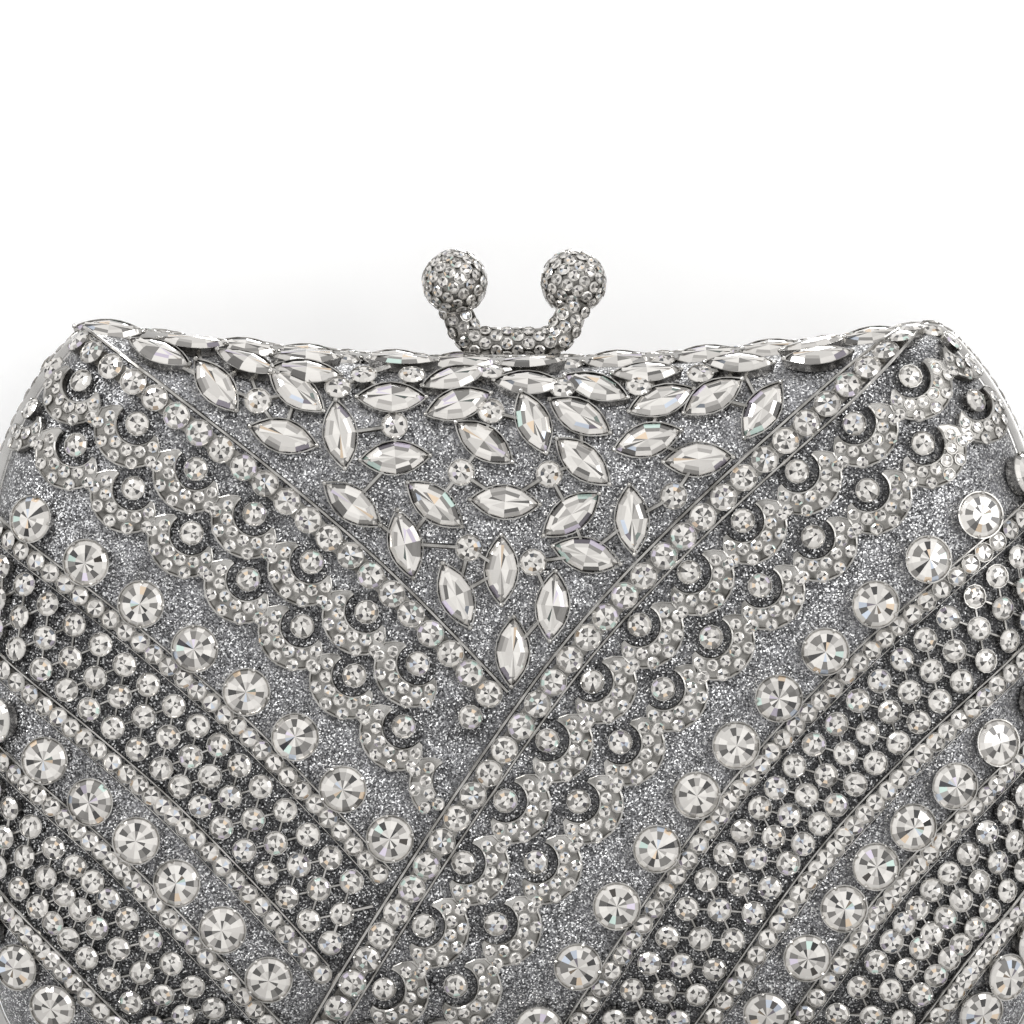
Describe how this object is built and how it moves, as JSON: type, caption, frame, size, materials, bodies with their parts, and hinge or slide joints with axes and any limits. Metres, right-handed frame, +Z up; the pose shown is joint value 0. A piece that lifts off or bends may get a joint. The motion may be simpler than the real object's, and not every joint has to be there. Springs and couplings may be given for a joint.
{
  "type": "clutch bag",
  "caption": "Hard-case evening clutch: two domed halves hinged along the base, with a kiss-lock clasp on top and an openwork cage of clear stones over each glitter panel.",
  "frame": {"origin": "on the floor plane, at the middle of the bag's footprint (bounding-box bottom centre)", "axes": "+Z up, the front faces -Y, +X is to the right as the front is looked at; the hinge runs along X at the base"},
  "size_m": [0.199, 0.0558, 0.1505],
  "materials": {
    "silver": "bright silver plate",
    "stones": "foiled clear stones in silver cups",
    "glitter": "hard shell covered in silver glitter fabric",
    "satin": "satin lining tray"
  },
  "bodies": {
    "rear_half": {"hinge_pin_left": "silver", "hinge_pin_right": "silver", "rear_border_rail": "silver", "rear_clasp_arm": "stones", "rear_clasp_ball": "stones", "rear_frame": "silver", "rear_lattice_left_1": "stones", "rear_lattice_left_2": "stones", "rear_lattice_right_1": "stones", "rear_lattice_right_2": "stones", "rear_lining": "satin", "rear_main_band_left": "stones", "rear_main_band_right": "stones", "rear_marquise_cluster": "stones", "rear_panel": "glitter", "rear_scallops_left_1": "stones", "rear_scallops_left_2": "stones", "rear_scallops_right_1": "stones", "rear_scallops_right_2": "stones", "rear_thin_band_left_1": "stones", "rear_thin_band_left_2": "stones", "rear_thin_band_left_3": "stones", "rear_thin_band_left_4": "stones", "rear_thin_band_right_1": "stones", "rear_thin_band_right_2": "stones", "rear_thin_band_right_3": "stones", "rear_thin_band_right_4": "stones"},
    "front_half": {"front_border_rail": "silver", "front_clasp_arm": "stones", "front_clasp_ball": "stones", "front_frame": "silver", "front_lattice_left_1": "stones", "front_lattice_left_2": "stones", "front_lattice_right_1": "stones", "front_lattice_right_2": "stones", "front_lining": "satin", "front_main_band_left": "stones", "front_main_band_right": "stones", "front_marquise_cluster": "stones", "front_panel": "glitter", "front_scallops_left_1": "stones", "front_scallops_left_2": "stones", "front_scallops_right_1": "stones", "front_scallops_right_2": "stones", "front_thin_band_left_1": "stones", "front_thin_band_left_2": "stones", "front_thin_band_left_3": "stones", "front_thin_band_left_4": "stones", "front_thin_band_right_1": "stones", "front_thin_band_right_2": "stones", "front_thin_band_right_3": "stones", "front_thin_band_right_4": "stones"}
  },
  "joints": [
    {"name": "front_half_hinge", "type": "hinge", "parent": "rear_half", "child": "front_half", "pos_m": [0, 0, 0.0019], "axis": [1, 0, 0], "range_deg": [0, 60]}
  ]
}
